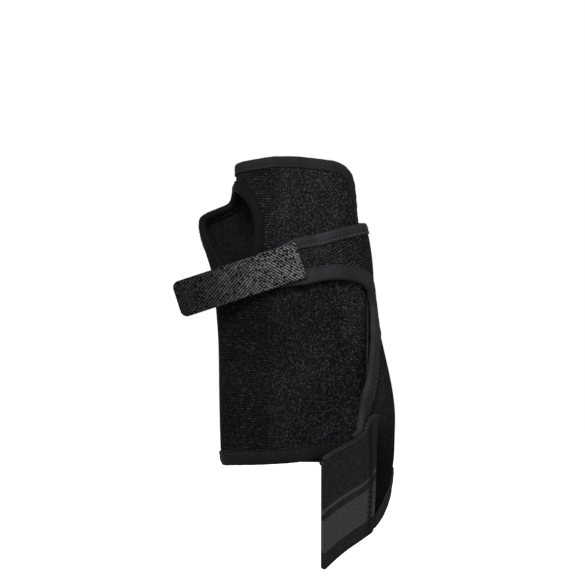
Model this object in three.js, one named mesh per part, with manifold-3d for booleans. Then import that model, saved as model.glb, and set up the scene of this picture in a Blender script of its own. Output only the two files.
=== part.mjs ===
// A wrist wrap in the rounded shape that it takes when worn: a padded panel with a thumb hole, an elastic
// panel that forks into a narrow and a wide strap, a hook tab on each strap, and folded tape round every
// edge. The narrow strap lies across the palm side, and the wide one hangs open.
// Millimetres. +Z points up from the wrist opening to the palm opening, -Y out of the palm side, and -X to
// the side of the thumb hole. Angles go round the wrap in degrees: 0 is the side of the fork, 90 the palm
// side, 180 the side of the thumb hole and 270 the back.
import * as THREE from 'three';
import { mergeVertices } from 'three/addons/utils/BufferGeometryUtils.js';
import Module from 'manifold-3d';

const wasm = await Module();
wasm.setup();

// The hollow inside the wrap, and where its seat is above the wrap's lower edge
const wristWidth = 84;
const wristDepth = 52;
const bodyHeight = 186;
const seatHeight = 82;
const squareness = 2.4;

// Thicknesses of the cloths, and the clearance that they keep
const padWall = 2.5;
const elasticWall = 1.6;
const tapeWall = 0.6;
const hookWall = 1.4;
const clearance = 0.3;
const tapeGap = 0.45;
const foldGap = 0.8;

// Edge tape and corners
const tapeWidth = 6;
const endCorner = 22;
const tabCorner = 4;

// The padded panel: where its inner end lies and where its outer end is sewn to the elastic panel
const innerEndAngle = 3;
const outerEndAngle = 324;

// The elastic panel: the lap on the padded panel, the crotch of the fork and the narrow strap's end
const lapAngle = -56;
const riseEndAngle = -8;
const crotchAngle = 11;
const crotchHeight = 96;
const crotchSlant = 14;
const narrowEndAngle = 132;

// How far the loose side stands off the wrist, and how the wide strap hangs from it
const looseness = 12.5;
const hemSag = 9;
const flapSwing = 44.3;
const flapReach = 71;
const flapDrop = 85.4;
const flapClothEnd = 0.65;

// The wide strap's hook tab: where its root's two ends lie along the strap, and the upper one across it
const tabRootLow = 0.547;
const tabRootTop = 0.345;
const tabRootAcross = 0.78;

// The narrow strap's hook tab, which runs straight on past the side of the thumb hole
const pullLength = 77.2;
const pullWidth = 21.8;
const pullSlope = 18.2;
const pullStart = 5;
const pullHeight = 124;
const pullLeave = -24;
const pullFall = 6;

// Sections of the hollow: height as a share of bodyHeight, the sides as shares of wristWidth, and the palm
// side and the back as shares of wristDepth
const sections = [
  { height: 0, thumb: 0.458, little: 0.494, palm: 0.538, back: 0.500 },
  { height: 0.043, thumb: 0.488, little: 0.506, palm: 0.558, back: 0.519 },
  { height: 0.215, thumb: 0.498, little: 0.511, palm: 0.548, back: 0.510 },
  { height: 0.392, thumb: 0.505, little: 0.511, palm: 0.519, back: 0.481 },
  { height: 0.500, thumb: 0.520, little: 0.511, palm: 0.500, back: 0.452 },
  { height: 0.629, thumb: 0.556, little: 0.502, palm: 0.471, back: 0.413 },
  { height: 0.731, thumb: 0.619, little: 0.474, palm: 0.442, back: 0.375 },
  { height: 0.790, thumb: 0.635, little: 0.433, palm: 0.423, back: 0.356 },
  { height: 0.849, thumb: 0.536, little: 0.421, palm: 0.394, back: 0.337 },
  { height: 0.914, thumb: 0.381, little: 0.412, palm: 0.356, back: 0.317 },
  { height: 1, thumb: 0.374, little: 0.405, palm: 0.327, back: 0.308 },
];

// The padded panel's edges round the wrap, as shares of bodyHeight
const padEdges = [
  { angle: 3, top: 0.971, bottom: 0.051 },
  { angle: 45, top: 0.985, bottom: 0.051 },
  { angle: 62, top: 0.989, bottom: 0.044 },
  { angle: 90, top: 0.993, bottom: 0.029 },
  { angle: 120, top: 0.993, bottom: 0.024 },
  { angle: 151, top: 0.983, bottom: 0.018 },
  { angle: 180, top: 0.971, bottom: 0.013 },
  { angle: 205, top: 0.955, bottom: 0.010 },
  { angle: 240, top: 0.903, bottom: 0.007 },
  { angle: 270, top: 0.853, bottom: 0.007 },
  { angle: 304, top: 0.799, bottom: 0.007 },
  { angle: 324, top: 0.789, bottom: 0.007 },
];

// The thumb hole's rim: angle, and height as a share of bodyHeight
const thumbHole = [
  { angle: 149.1, height: 0.626 },
  { angle: 158.8, height: 0.641 },
  { angle: 165.7, height: 0.689 },
  { angle: 171.6, height: 0.745 },
  { angle: 180.2, height: 0.791 },
  { angle: 190.9, height: 0.823 },
  { angle: 197.3, height: 0.853 },
  { angle: 191.9, height: 0.884 },
  { angle: 179.1, height: 0.899 },
  { angle: 165.2, height: 0.891 },
  { angle: 152.4, height: 0.873 },
  { angle: 142.2, height: 0.840 },
  { angle: 136.8, height: 0.797 },
  { angle: 134.7, height: 0.745 },
  { angle: 136.8, height: 0.689 },
  { angle: 141.7, height: 0.649 },
];

// The narrow strap's edges round the wrap, as shares of bodyHeight. Its lower edge starts in the crotch.
const narrowTop = [
  { angle: -56, height: 0.787 },
  { angle: -20, height: 0.779 },
  { angle: 3, height: 0.771 },
  { angle: 21.5, height: 0.766 },
  { angle: 37.5, height: 0.756 },
  { angle: 53, height: 0.744 },
  { angle: 83.5, height: 0.729 },
  { angle: 117.5, height: 0.691 },
  { angle: 132, height: 0.680 },
];
const narrowBottom = [
  { angle: crotchAngle, height: crotchHeight / bodyHeight },
  { angle: 12.5, height: 0.550 },
  { angle: 16, height: 0.576 },
  { angle: 21, height: 0.593 },
  { angle: 28, height: 0.602 },
  { angle: 41, height: 0.607 },
  { angle: 75, height: 0.590 },
  { angle: 112, height: 0.582 },
  { angle: 132, height: 0.582 },
];

// How the wide strap hangs: share of its length, then how far its top and bottom edges move from the
// crotch line to the side as shares of flapSwing, to the front of flapReach and down of flapDrop
const drape = [
  { along: 0, topSide: 0, topFront: 0, topDrop: 0, lowSide: 0, lowFront: 0, lowDrop: 0 },
  { along: 0.068, topSide: 0.005, topFront: 0.042, topDrop: 0.094, lowSide: -0.024, lowFront: 0.042, lowDrop: 0.070 },
  { along: 0.142, topSide: 0.005, topFront: 0.092, topDrop: 0.199, lowSide: -0.050, lowFront: 0.085, lowDrop: 0.138 },
  { along: 0.210, topSide: -0.009, topFront: 0.155, topDrop: 0.299, lowSide: -0.085, lowFront: 0.120, lowDrop: 0.188 },
  { along: 0.330, topSide: -0.056, topFront: 0.261, topDrop: 0.492, lowSide: -0.145, lowFront: 0.162, lowDrop: 0.260 },
  { along: 0.415, topSide: -0.131, topFront: 0.338, topDrop: 0.621, lowSide: -0.205, lowFront: 0.194, lowDrop: 0.305 },
  { along: 0.490, topSide: -0.174, topFront: 0.408, topDrop: 0.744, lowSide: -0.255, lowFront: 0.215, lowDrop: 0.335 },
  { along: 0.547, topSide: -0.205, topFront: 0.465, topDrop: 0.843, lowSide: -0.302, lowFront: 0.232, lowDrop: 0.352 },
  { along: 0.774, topSide: -0.458, topFront: 0.732, topDrop: 0.922, lowSide: -0.630, lowFront: 0.479, lowDrop: 0.450 },
  { along: 1, topSide: -0.707, topFront: 1, topDrop: 1, lowSide: -0.962, lowFront: 0.732, lowDrop: 0.600 },
];

// How finely the sheets are divided
const angleStep = 8;
const padRows = [0, 0.03, 0.1, 0.25, 0.4, 0.51, 0.59, 0.65, 0.7, 0.745, 0.785, 0.82, 0.855, 0.89, 0.925, 0.96, 1];
const cornerSteps = 5;
const holeSteps = 36;
const strapRows = 4;
const flapRows = 8;
const flapSteps = 14;
const pullSteps = 12;
const plugRings = 4;
const slimming = 0.98;
const cutterReach = 5;

const layerPitch = tapeGap + tapeWall;
const lapLift = padWall + 2 * clearance;
const overTapeLift = padWall + 2 * layerPitch + 2 * clearance;

const radians = THREE.MathUtils.degToRad;
const lerp = THREE.MathUtils.lerp;
const smooth = THREE.MathUtils.smoothstep;

// The value of a table's column at x, on a cubic that doesn't overshoot its rows
function column(table, key, name, x) {
  const last = table.length - 2;
  const slope = (i) => (table[i + 1][name] - table[i][name]) / (table[i + 1][key] - table[i][key]);
  const tangent = (i) => {
    if (i === 0) return slope(0);
    if (i > last) return slope(last);
    const [before, after] = [slope(i - 1), slope(i)];
    return before * after <= 0 ? 0 : (2 * before * after) / (before + after);
  };
  let i = 0;
  while (i < last && x > table[i + 1][key]) i += 1;
  const width = table[i + 1][key] - table[i][key];
  const t = THREE.MathUtils.clamp((x - table[i][key]) / width, 0, 1);
  const rise = t * t * (3 - 2 * t);
  return table[i][name] * (1 - rise) + table[i + 1][name] * rise
    + width * (t * (1 - t) ** 2 * tangent(i) - t * t * (1 - t) * tangent(i + 1));
}

const heightOf = (share) => share * bodyHeight - seatHeight;
const shareOf = (z) => (z + seatHeight) / bodyHeight;

// A point on the hollow's wall, whose sections are rounded boxes
function hollowPoint(angle, z) {
  const share = THREE.MathUtils.clamp(shareOf(z), 0, 1);
  const [c, s] = [Math.cos(radians(angle)), Math.sin(radians(angle))];
  const side = wristWidth * column(sections, 'height', c > 0 ? 'little' : 'thumb', share);
  const depth = wristDepth * column(sections, 'height', s > 0 ? 'palm' : 'back', share);
  const radius = (Math.abs(c / side) ** squareness + Math.abs(s / depth) ** squareness) ** (-1 / squareness);
  return new THREE.Vector3(radius * c, -radius * s, z);
}

function hollowNormal(angle, z) {
  const step = 0.5;
  const round = hollowPoint(angle + step, z).sub(hollowPoint(angle - step, z));
  const up = hollowPoint(angle, z + step).sub(hollowPoint(angle, z - step));
  return up.cross(round).normalize();
}

// A point at a height above the hollow's wall
const lifted = (angle, z, lift) => hollowPoint(angle, z).addScaledVector(hollowNormal(angle, z), lift);

// A closed solid from lists of points and triangles, turned so that its faces point out
function solid(points, triangles) {
  const volume = triangles.reduce((sum, [a, b, c]) => (
    sum + points[a].dot(new THREE.Vector3().crossVectors(points[b], points[c]))), 0);
  const geometry = new THREE.BufferGeometry();
  geometry.setAttribute('position', new THREE.Float32BufferAttribute(points.flatMap((p) => p.toArray()), 3));
  geometry.setIndex(triangles.flatMap(([a, b, c]) => (volume > 0 ? [a, b, c] : [a, c, b])));
  return geometry;
}

// The middle surface of a sheet made of patches. A patch is a list of columns, each a list of points from
// bottom to top, and patches join where their points are the same.
function middleSurface(patches) {
  const points = [];
  const found = new Map();
  const quads = [];
  const indexOf = (point) => {
    const key = point.toArray().map((v) => Math.round(v * 1e4)).join();
    if (!found.has(key)) {
      found.set(key, points.length);
      points.push(point);
    }
    return found.get(key);
  };
  for (const columns of patches) {
    const indices = columns.map((points) => points.map(indexOf));
    for (let i = 0; i + 1 < indices.length; i += 1) {
      for (let j = 0; j + 1 < indices[i].length; j += 1) {
        quads.push([indices[i][j], indices[i][j + 1], indices[i + 1][j + 1], indices[i + 1][j]]);
      }
    }
  }
  const triangles = quads.flatMap(([a, b, c, d]) => [[a, b, c], [a, c, d]])
    .filter(([a, b, c]) => a !== b && b !== c && c !== a);
  const normals = points.map(() => new THREE.Vector3());
  for (const [a, b, c] of triangles) {
    const face = new THREE.Triangle(points[a], points[b], points[c]);
    const weighted = face.getNormal(new THREE.Vector3()).multiplyScalar(face.getArea());
    [a, b, c].forEach((k) => normals[k].add(weighted));
  }
  normals.forEach((normal) => normal.normalize());
  return { points, triangles, normals };
}

// A sheet of the given wall on both sides of its middle surface
function sheet(surface, wall) {
  const { points, triangles, normals } = surface;
  const shift = (side) => points.map((p, k) => p.clone().addScaledVector(normals[k], side * wall / 2));
  const count = points.length;
  const faces = [
    ...triangles,
    ...triangles.map(([a, b, c]) => [a + count, c + count, b + count]),
  ];
  const directed = new Set(triangles.flatMap(([a, b, c]) => [`${a},${b}`, `${b},${c}`, `${c},${a}`]));
  for (const edge of directed) {
    const [a, b] = edge.split(',').map(Number);
    if (!directed.has(`${b},${a}`)) faces.push([b, a, a + count], [b, a + count, b + count]);
  }
  return solid([...shift(1), ...shift(-1)], faces);
}

// The nearest point of a middle surface, with the surface's normal there
function nearest(surface, target) {
  const face = new THREE.Triangle();
  const hit = new THREE.Vector3();
  let best = { distance: Infinity };
  for (const [a, b, c] of surface.triangles) {
    face.set(surface.points[a], surface.points[b], surface.points[c]);
    face.closestPointToPoint(target, hit);
    const distance = hit.distanceToSquared(target);
    if (distance < best.distance - 1e-9) best = { distance, point: hit.clone(), corners: [a, b, c] };
  }
  const weights = new THREE.Vector3();
  const corners = best.corners.map((k) => surface.points[k]);
  THREE.Triangle.getBarycoord(best.point, ...corners, weights);
  const normal = new THREE.Vector3();
  best.corners.forEach((k, n) => normal.addScaledVector(surface.normals[k], weights.getComponent(n)));
  return { point: best.point, normal: normal.normalize() };
}

// Tape folded over an edge: a U round the sheet's wall, swept along the edge's points. The sheet lies to
// the side that the cross product of its normal and the edge's direction points to.
function foldedTape(surface, wall, edge, closed = false) {
  const inside = wall / 2 + tapeGap;
  const outside = inside + tapeWall;
  const rings = edge.map((point, i) => {
    const before = edge[closed ? (i + edge.length - 1) % edge.length : Math.max(i - 1, 0)];
    const after = edge[closed ? (i + 1) % edge.length : Math.min(i + 1, edge.length - 1)];
    const along = after.clone().sub(before).normalize();
    const rim = nearest(surface, point);
    const inward = rim.normal.clone().cross(along).normalize();
    const middle = nearest(surface, rim.point.clone().addScaledVector(inward, tapeWidth / 2));
    const far = nearest(surface, rim.point.clone().addScaledVector(inward, tapeWidth));
    const at = (spot, out, lift) => spot.point.clone()
      .addScaledVector(inward, -out).addScaledVector(spot.normal, lift);
    return [
      at(far, 0, outside), at(middle, 0, outside), at(rim, 0, outside),
      at(rim, foldGap + tapeWall, inside), at(rim, foldGap + tapeWall, -inside),
      at(rim, 0, -outside), at(middle, 0, -outside), at(far, 0, -outside),
      at(far, 0, -inside), at(middle, 0, -inside), at(rim, foldGap, -inside),
      at(rim, foldGap, inside), at(middle, 0, inside), at(far, 0, inside),
    ];
  });
  const size = rings[0].length;
  const faces = [];
  const steps = closed ? rings.length : rings.length - 1;
  for (let i = 0; i < steps; i += 1) {
    const [here, next] = [i * size, ((i + 1) % rings.length) * size];
    for (let j = 0; j < size; j += 1) {
      const k = (j + 1) % size;
      faces.push([here + j, next + j, next + k], [here + j, next + k, here + k]);
    }
  }
  if (!closed) {
    const strips = [[0, 1, 12, 13], [1, 2, 11, 12], [2, 3, 4, 11], [4, 5, 10, 11], [5, 6, 9, 10], [6, 7, 8, 9]];
    const end = (rings.length - 1) * size;
    for (const [a, b, c, d] of strips) {
      faces.push([a, b, c], [a, c, d], [end + a, end + c, end + b], [end + a, end + d, end + c]);
    }
  }
  return solid(rings.flat(), faces);
}

// How far a rounded corner cuts in at a distance from the edge beside it
function cornerCut(distance, radius) {
  return distance >= radius ? 0 : radius - Math.sqrt(radius ** 2 - (radius - distance) ** 2);
}

const range = (count, value) => Array.from({ length: count + 1 }, (_, i) => value(i / count, i));
const quarter = (share) => 1 - Math.cos(share * Math.PI / 2);

// Angles from one to another, closer together at the sides, where the hollow bends more
function anglesBetween(from, to) {
  const squash = wristDepth / wristWidth;
  const turned = (angle, factor) => {
    const a = radians(angle);
    const turn = Math.atan2(Math.sin(a) * factor, Math.cos(a)) - Math.atan2(Math.sin(a), Math.cos(a));
    return angle + THREE.MathUtils.radToDeg(turn);
  };
  const [start, end] = [turned(from, 1 / squash), turned(to, 1 / squash)];
  const steps = Math.round(Math.abs(end - start) / angleStep);
  return range(steps, (share) => turned(lerp(start, end, share), squash));
}

// The padded panel
const degreesPerMm = 1 / radians(wristWidth / 2);
const cornerEndAngle = innerEndAngle + endCorner * degreesPerMm;
const padAngles = [
  ...range(cornerSteps, (share) => innerEndAngle + endCorner * quarter(share) * degreesPerMm),
  ...anglesBetween(cornerEndAngle, outerEndAngle).slice(1),
];

function padHeight(angle, edge) {
  const cut = cornerCut((angle - innerEndAngle) / degreesPerMm, endCorner);
  const height = heightOf(column(padEdges, 'angle', edge, angle));
  return edge === 'top' ? height - cut : height + cut;
}

const padPoint = (angle, row) => (
  lifted(angle, lerp(padHeight(angle, 'bottom'), padHeight(angle, 'top'), row), padWall / 2));
const padSurface = middleSurface([padAngles.map((angle) => padRows.map((row) => padPoint(angle, row)))]);

const rimCurve = new THREE.CatmullRomCurve3(
  thumbHole.map(({ angle, height }) => new THREE.Vector3(angle, heightOf(height), 0)), true, 'catmullrom', 0.5);
const rimSpots = rimCurve.getPoints(holeSteps).slice(0, holeSteps);

function toManifold(geometry) {
  const bare = new THREE.BufferGeometry();
  bare.setAttribute('position', geometry.getAttribute('position'));
  bare.setIndex(geometry.getIndex());
  const merged = mergeVertices(bare);
  return new wasm.Manifold(new wasm.Mesh({
    numProp: 3,
    vertProperties: new Float32Array(merged.getAttribute('position').array),
    triVerts: new Uint32Array(merged.getIndex().array),
  }));
}

function fromManifold(body) {
  const mesh = body.getMesh();
  const geometry = new THREE.BufferGeometry();
  geometry.setAttribute('position', new THREE.Float32BufferAttribute(mesh.vertProperties, 3));
  geometry.setIndex(Array.from(mesh.triVerts));
  return geometry;
}

// The plug that cuts the thumb hole: a thick sheet in rings that follow the panel's bend, its rim square to
// the panel
function holePlug(size) {
  const middle = rimSpots.reduce((sum, spot) => sum.add(spot), new THREE.Vector3()).divideScalar(holeSteps);
  const spokes = [...rimSpots, rimSpots[0]].map((rim) => range(plugRings, (share) => {
    const spot = middle.clone().lerp(rim, share * size);
    return lifted(spot.x, spot.y, padWall / 2);
  }));
  const surface = middleSurface([spokes]);
  const normals = surface.points.map((point) => nearest(padSurface, point).normal);
  return sheet({ ...surface, normals }, 2 * cutterReach);
}

// A sheet with the thumb hole cut out of it, or whole where there is no plug
function cutSheet(surface, wall, plug) {
  const whole = toManifold(sheet(surface, wall));
  return plug ? whole.subtract(toManifold(plug)) : whole;
}

// Folded tape, pared down inside wherever its straight runs come too near the sheet's bend
function fittedTape(surface, wall, edge, plug, closed) {
  const swept = toManifold(foldedTape(surface, wall, edge, closed));
  return fromManifold(swept.subtract(cutSheet(surface, wall + 2 * clearance, plug)));
}

// Tape round the padded panel: up to the lap along the top, round the inner end, and back along the bottom
function padEdge() {
  const tapeAngles = padAngles.filter((angle) => angle < 360 + lapAngle - clearance * degreesPerMm);
  const along = (row) => tapeAngles.map((angle) => padPoint(angle, row));
  const end = padRows.slice(1, -1).map((row) => padPoint(innerEndAngle, row));
  return [...along(0).reverse(), ...end, ...along(1)];
}

// The elastic panel: its root round the side of the fork, then a limb for each strap
const narrowTopHeight = (angle) => heightOf(column(narrowTop, 'angle', 'height', angle));
const narrowBottomHeight = (angle) => heightOf(column(narrowBottom, 'angle', 'height', angle));
const crotchZ = crotchHeight - seatHeight;
const looseTop = heightOf(0.58);
const looseFull = heightOf(0.145);

const elasticLift = (angle) => (
  lerp(lapLift, overTapeLift, smooth(angle, outerEndAngle - 360, riseEndAngle)) + elasticWall / 2);

const looseLift = (angle, z) => (
  looseness * smooth(angle, outerEndAngle - 360, 0) * (1 - smooth(z, looseFull, looseTop)));

const rootBottom = (angle) => -seatHeight - hemSag * smooth(angle, outerEndAngle - 360, crotchAngle);

const elasticPoint = (angle, z) => lifted(angle, z, elasticLift(angle) + looseLift(angle, z));

// Rows below the crotch end on a slanted line, so that the wide strap starts further back at its bottom
function rootPoint(share, row) {
  const low = Math.min(row, 0);
  const end = crotchAngle + crotchSlant * low;
  const angle = lerp(lapAngle, end, share);
  const z = row < 0
    ? lerp(crotchZ, rootBottom(angle), -row)
    : lerp(crotchZ, narrowTopHeight(angle), row);
  return elasticPoint(angle, z);
}

const rootShares = anglesBetween(lapAngle, crotchAngle)
  .map((angle) => (angle - lapAngle) / (crotchAngle - lapAngle));
const lowRows = range(flapRows, (share) => share - 1);
const highRows = range(strapRows, (share) => share);
const rootPatch = rootShares.map((share) => [...lowRows, ...highRows.slice(1)].map((row) => rootPoint(share, row)));

const crotchOpening = narrowBottom[5].angle;
const narrowAngles = [
  ...range(cornerSteps, (share) => lerp(crotchAngle, crotchOpening, quarter(share))),
  ...anglesBetween(crotchOpening, narrowEndAngle).slice(1),
];
const narrowPoint = (angle, row) => (
  elasticPoint(angle, lerp(narrowBottomHeight(angle), narrowTopHeight(angle), row)));
const narrowPatch = narrowAngles.map((angle) => highRows.map((row) => narrowPoint(angle, row)));

// A point of the wide strap: along its length, and across it from 0 at the bottom edge to 1 at the top.
// The bulge of the crotch line flattens out towards the tab.
function flapPoint(along, across) {
  const moved = (edge) => new THREE.Vector3(
    flapSwing * column(drape, 'along', `${edge}Side`, along),
    -flapReach * column(drape, 'along', `${edge}Front`, along),
    -flapDrop * column(drape, 'along', `${edge}Drop`, along));
  const [bottom, top] = [rootPoint(1, -1), rootPoint(1, 0)];
  const bulge = rootPoint(1, THREE.MathUtils.clamp(across, 0, 1) - 1)
    .sub(bottom.clone().lerp(top, THREE.MathUtils.clamp(across, 0, 1)));
  return bottom.add(moved('low')).lerp(top.add(moved('top')), across)
    .addScaledVector(bulge, 1 - smooth(along, 0, tabRootLow));
}

const flapAlongs = [
  ...range(cornerSteps, (share) => quarter(share) * drape[3].along),
  ...range(flapSteps - cornerSteps, (share) => lerp(drape[3].along, flapClothEnd, share)).slice(1),
];
const flapPatch = flapAlongs.map((along) => range(flapRows, (share) => flapPoint(along, share)));

const elasticSurface = middleSurface([rootPatch, narrowPatch, flapPatch]);

// Edges of the elastic panel where its tape goes. It starts clear of the padded panel's outer end.
const tapeStart = outerEndAngle - 360 + layerPitch * degreesPerMm;
const rootTapeShares = rootShares.filter((share) => (
  lerp(lapAngle, crotchAngle - crotchSlant, share) > tapeStart));
const upperEdge = [
  ...rootTapeShares.map((share) => rootPoint(share, 1)),
  ...narrowAngles.slice(1).map((angle) => narrowPoint(angle, 1)),
];
const crotchEdge = [
  ...narrowAngles.map((angle) => narrowPoint(angle, 0)).reverse(),
  ...flapAlongs.slice(1).map((along) => flapPoint(along, 1)),
];
const lowerEdge = [
  ...flapAlongs.slice(1).map((along) => flapPoint(along, 0)).reverse(),
  ...rootTapeShares.map((share) => rootPoint(share, -1)).reverse(),
];

// The narrow strap's tab lies on the strap, then runs straight on. Its ends are square to its length.
const tabShares = (length) => {
  const corner = range(cornerSteps / 2, (share) => quarter(share) * tabCorner / length);
  const middle = range(pullSteps, (share) => lerp(tabCorner / length, 1 - tabCorner / length, share));
  return [...corner.slice(0, -1), ...middle, ...corner.slice(0, -1).map((share) => 1 - share).reverse()];
};

function pullPatch() {
  const slope = radians(pullSlope);
  const length = new THREE.Vector2(-Math.cos(slope), -Math.sin(slope));
  const width = new THREE.Vector2(-Math.sin(slope), Math.cos(slope));
  const lift = overTapeLift + elasticWall + layerPitch + 2 * clearance + hookWall / 2;
  const front = (x, z) => {
    const share = THREE.MathUtils.clamp(shareOf(z), 0, 1);
    const side = wristWidth * column(sections, 'height', x > 0 ? 'little' : 'thumb', share);
    const depth = wristDepth * column(sections, 'height', 'palm', share);
    return -depth * (1 - Math.abs(x / side) ** squareness) ** (1 / squareness) - lift;
  };
  const start = new THREE.Vector2(pullStart, pullHeight - seatHeight);
  return tabShares(pullLength).map((share) => {
    const run = pullLength * share;
    const half = pullWidth / 2 - cornerCut(pullLength - run, tabCorner);
    return range(2, (across) => {
      const spot = start.clone().addScaledVector(length, run).addScaledVector(width, half * (2 * across - 1));
      const held = Math.max(spot.x, pullLeave);
      const free = held - spot.x;
      const y = front(held, spot.y + free * Math.tan(slope)) + pullFall * (free / pullLength) ** 2;
      return new THREE.Vector3(spot.x, y, spot.y);
    });
  });
}

// The wide strap's tab lies on the outside of the strap's end, with its root on a slant, and carries on
// past the cloth to its free edge
function flapTabPatch() {
  const lift = elasticWall / 2 + layerPitch + 2 * clearance + hookWall / 2;
  const step = 0.01;
  const length = flapPoint(1, 0).distanceTo(flapPoint(tabRootLow, 0));
  return tabShares(length).map((share) => {
    const toEnd = Math.min(share, 1 - share) * length;
    return range(flapRows / 2, (row) => {
      const along = lerp(lerp(tabRootLow, tabRootTop, row), 1, share);
      const width = flapPoint(along, 1).distanceTo(flapPoint(along, 0));
      const cut = cornerCut(toEnd, tabCorner) / width;
      const rise = THREE.MathUtils.inverseLerp(tabRootTop, tabRootLow, along);
      const across = lerp(cut, 1 - cut, row) * Math.min(lerp(tabRootAcross, 1, rise), 1);
      const down = flapPoint(along, across - step).sub(flapPoint(along, across + step));
      const on = flapPoint(Math.min(along + step, 1), across).sub(flapPoint(along - step, across));
      const settle = lift * (1 - smooth(along, flapClothEnd + 2 * step, 1));
      return flapPoint(along, across).addScaledVector(on.cross(down).normalize(), settle);
    });
  });
}

const cloth = (name, color, roughness) => new THREE.MeshStandardMaterial({ name, color, roughness, metalness: 0 });
const padCloth = cloth('loop_cloth', 0x1c1c1e, 0.95);
const elasticCloth = cloth('elastic', 0x242426, 0.85);
const tapeCloth = cloth('edge_tape', 0x2d2d2f, 0.6);
const pullCloth = cloth('pull_webbing', 0x484848, 0.8);
const tabCloth = cloth('tab_cloth', 0x2a2a2a, 0.75);

const wrap = new THREE.Group();

function piece(name, geometry, material) {
  const mesh = new THREE.Mesh(geometry, material);
  mesh.name = name;
  wrap.add(mesh);
}

const plug = holePlug(1);
const slimPlug = holePlug(slimming);
const holeEdge = rimSpots.map((spot) => lifted(spot.x, spot.y, padWall / 2));
piece('padded_panel', fromManifold(cutSheet(padSurface, padWall, plug)), padCloth);
piece('padded_panel_tape', fittedTape(padSurface, padWall, padEdge(), slimPlug, false), tapeCloth);
piece('thumb_hole_tape', fittedTape(padSurface, padWall, holeEdge, slimPlug, true), tapeCloth);
piece('forked_strap', sheet(elasticSurface, elasticWall), elasticCloth);
piece('upper_edge_tape', fittedTape(elasticSurface, elasticWall, upperEdge), tapeCloth);
piece('crotch_tape', fittedTape(elasticSurface, elasticWall, crotchEdge), tapeCloth);
piece('lower_edge_tape', fittedTape(elasticSurface, elasticWall, lowerEdge), tapeCloth);
piece('narrow_hook_tab', sheet(middleSurface([pullPatch()]), hookWall), pullCloth);
piece('wide_hook_tab', sheet(middleSurface([flapTabPatch()]), hookWall), tabCloth);

export default wrap;
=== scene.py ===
"""A black wrist wrap for the left wrist, in the rounded shape that it takes when worn.

The padded panel, the forked elastic strap, the folded tapes and the hook tabs are fine meshes on the same
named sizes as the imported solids, with stitches and zigzag seams as geometry. Lengths are in millimetres
until a mesh is made. Angles go round the wrap in degrees: 0 is the side of the fork, 90 the palm side,
180 the side of the thumb hole and 270 the back.
"""

import bpy
import numpy as np
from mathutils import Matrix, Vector
from mathutils.bvhtree import BVHTree


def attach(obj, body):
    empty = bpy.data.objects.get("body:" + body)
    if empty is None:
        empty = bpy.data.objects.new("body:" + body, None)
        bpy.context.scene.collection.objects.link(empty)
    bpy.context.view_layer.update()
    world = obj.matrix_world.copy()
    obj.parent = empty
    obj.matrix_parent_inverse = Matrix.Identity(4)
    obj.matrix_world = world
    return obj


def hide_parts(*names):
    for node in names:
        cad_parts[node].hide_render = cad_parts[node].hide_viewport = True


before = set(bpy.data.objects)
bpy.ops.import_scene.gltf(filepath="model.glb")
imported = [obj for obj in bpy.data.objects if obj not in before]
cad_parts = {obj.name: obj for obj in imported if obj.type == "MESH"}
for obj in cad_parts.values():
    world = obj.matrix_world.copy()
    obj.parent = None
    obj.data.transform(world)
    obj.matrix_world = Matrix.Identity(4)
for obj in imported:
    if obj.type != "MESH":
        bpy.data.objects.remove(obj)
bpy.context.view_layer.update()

MM = 0.001
rng = np.random.default_rng(7)

# The hollow inside the wrap, and the cloths' thicknesses
WRIST_WIDTH = 84
WRIST_DEPTH = 52
BODY_HEIGHT = 186
SEAT_HEIGHT = 82
SQUARENESS = 2.4
PAD_WALL = 2.5
ELASTIC_WALL = 1.6
TAPE_WALL = 0.6
HOOK_WALL = 1.4
CLEARANCE = 0.3
TAPE_GAP = 0.45
END_CORNER = 22
TAB_CORNER = 4

# The padded panel, the elastic panel and its fork
INNER_END = 3
OUTER_END = 324
LAP = -56
RISE_END = -8
CROTCH = 11
CROTCH_HEIGHT = 96
CROTCH_SLANT = 14
NARROW_END = 132
LOOSENESS = 12.5
HEM_SAG = 9
FLAP_SWING = 44.3
FLAP_REACH = 71
FLAP_DROP = 85.4
FLAP_LENGTH = 130
FLAP_CLOTH_END = 0.65
TAB_ROOT_LOW = 0.547
TAB_ROOT_TOP = 0.345
TAB_ROOT_ACROSS = 0.78

# The narrow strap's tab
PULL_LENGTH = 77.2
PULL_WIDTH = 21.8
PULL_SLOPE = 18.2
PULL_START = 5
PULL_HEIGHT = 124
PULL_LEAVE = -24
PULL_FALL = 6


def table(names, rows):
    """A table's columns by name."""
    return dict(zip(names.split(), np.array(rows, float).T))


SECTIONS = table("height thumb little palm back", [
    (0, 0.458, 0.494, 0.538, 0.500),
    (0.043, 0.488, 0.506, 0.558, 0.519),
    (0.215, 0.498, 0.511, 0.548, 0.510),
    (0.392, 0.505, 0.511, 0.519, 0.481),
    (0.500, 0.520, 0.511, 0.500, 0.452),
    (0.629, 0.556, 0.502, 0.471, 0.413),
    (0.731, 0.619, 0.474, 0.442, 0.375),
    (0.790, 0.635, 0.433, 0.423, 0.356),
    (0.849, 0.536, 0.421, 0.394, 0.337),
    (0.914, 0.381, 0.412, 0.356, 0.317),
    (1, 0.374, 0.405, 0.327, 0.308),
])
PAD_EDGES = table("angle top bottom", [
    (3, 0.9705, 0.0515),
    (45, 0.9845, 0.0515),
    (62, 0.9885, 0.0445),
    (90, 0.9925, 0.0285),
    (120, 0.9925, 0.0235),
    (151, 0.9825, 0.0185),
    (180, 0.9705, 0.0125),
    (205, 0.9545, 0.0105),
    (240, 0.9025, 0.0075),
    (270, 0.8525, 0.0075),
    (304, 0.7985, 0.0075),
    (324, 0.7885, 0.0075),
])
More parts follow.
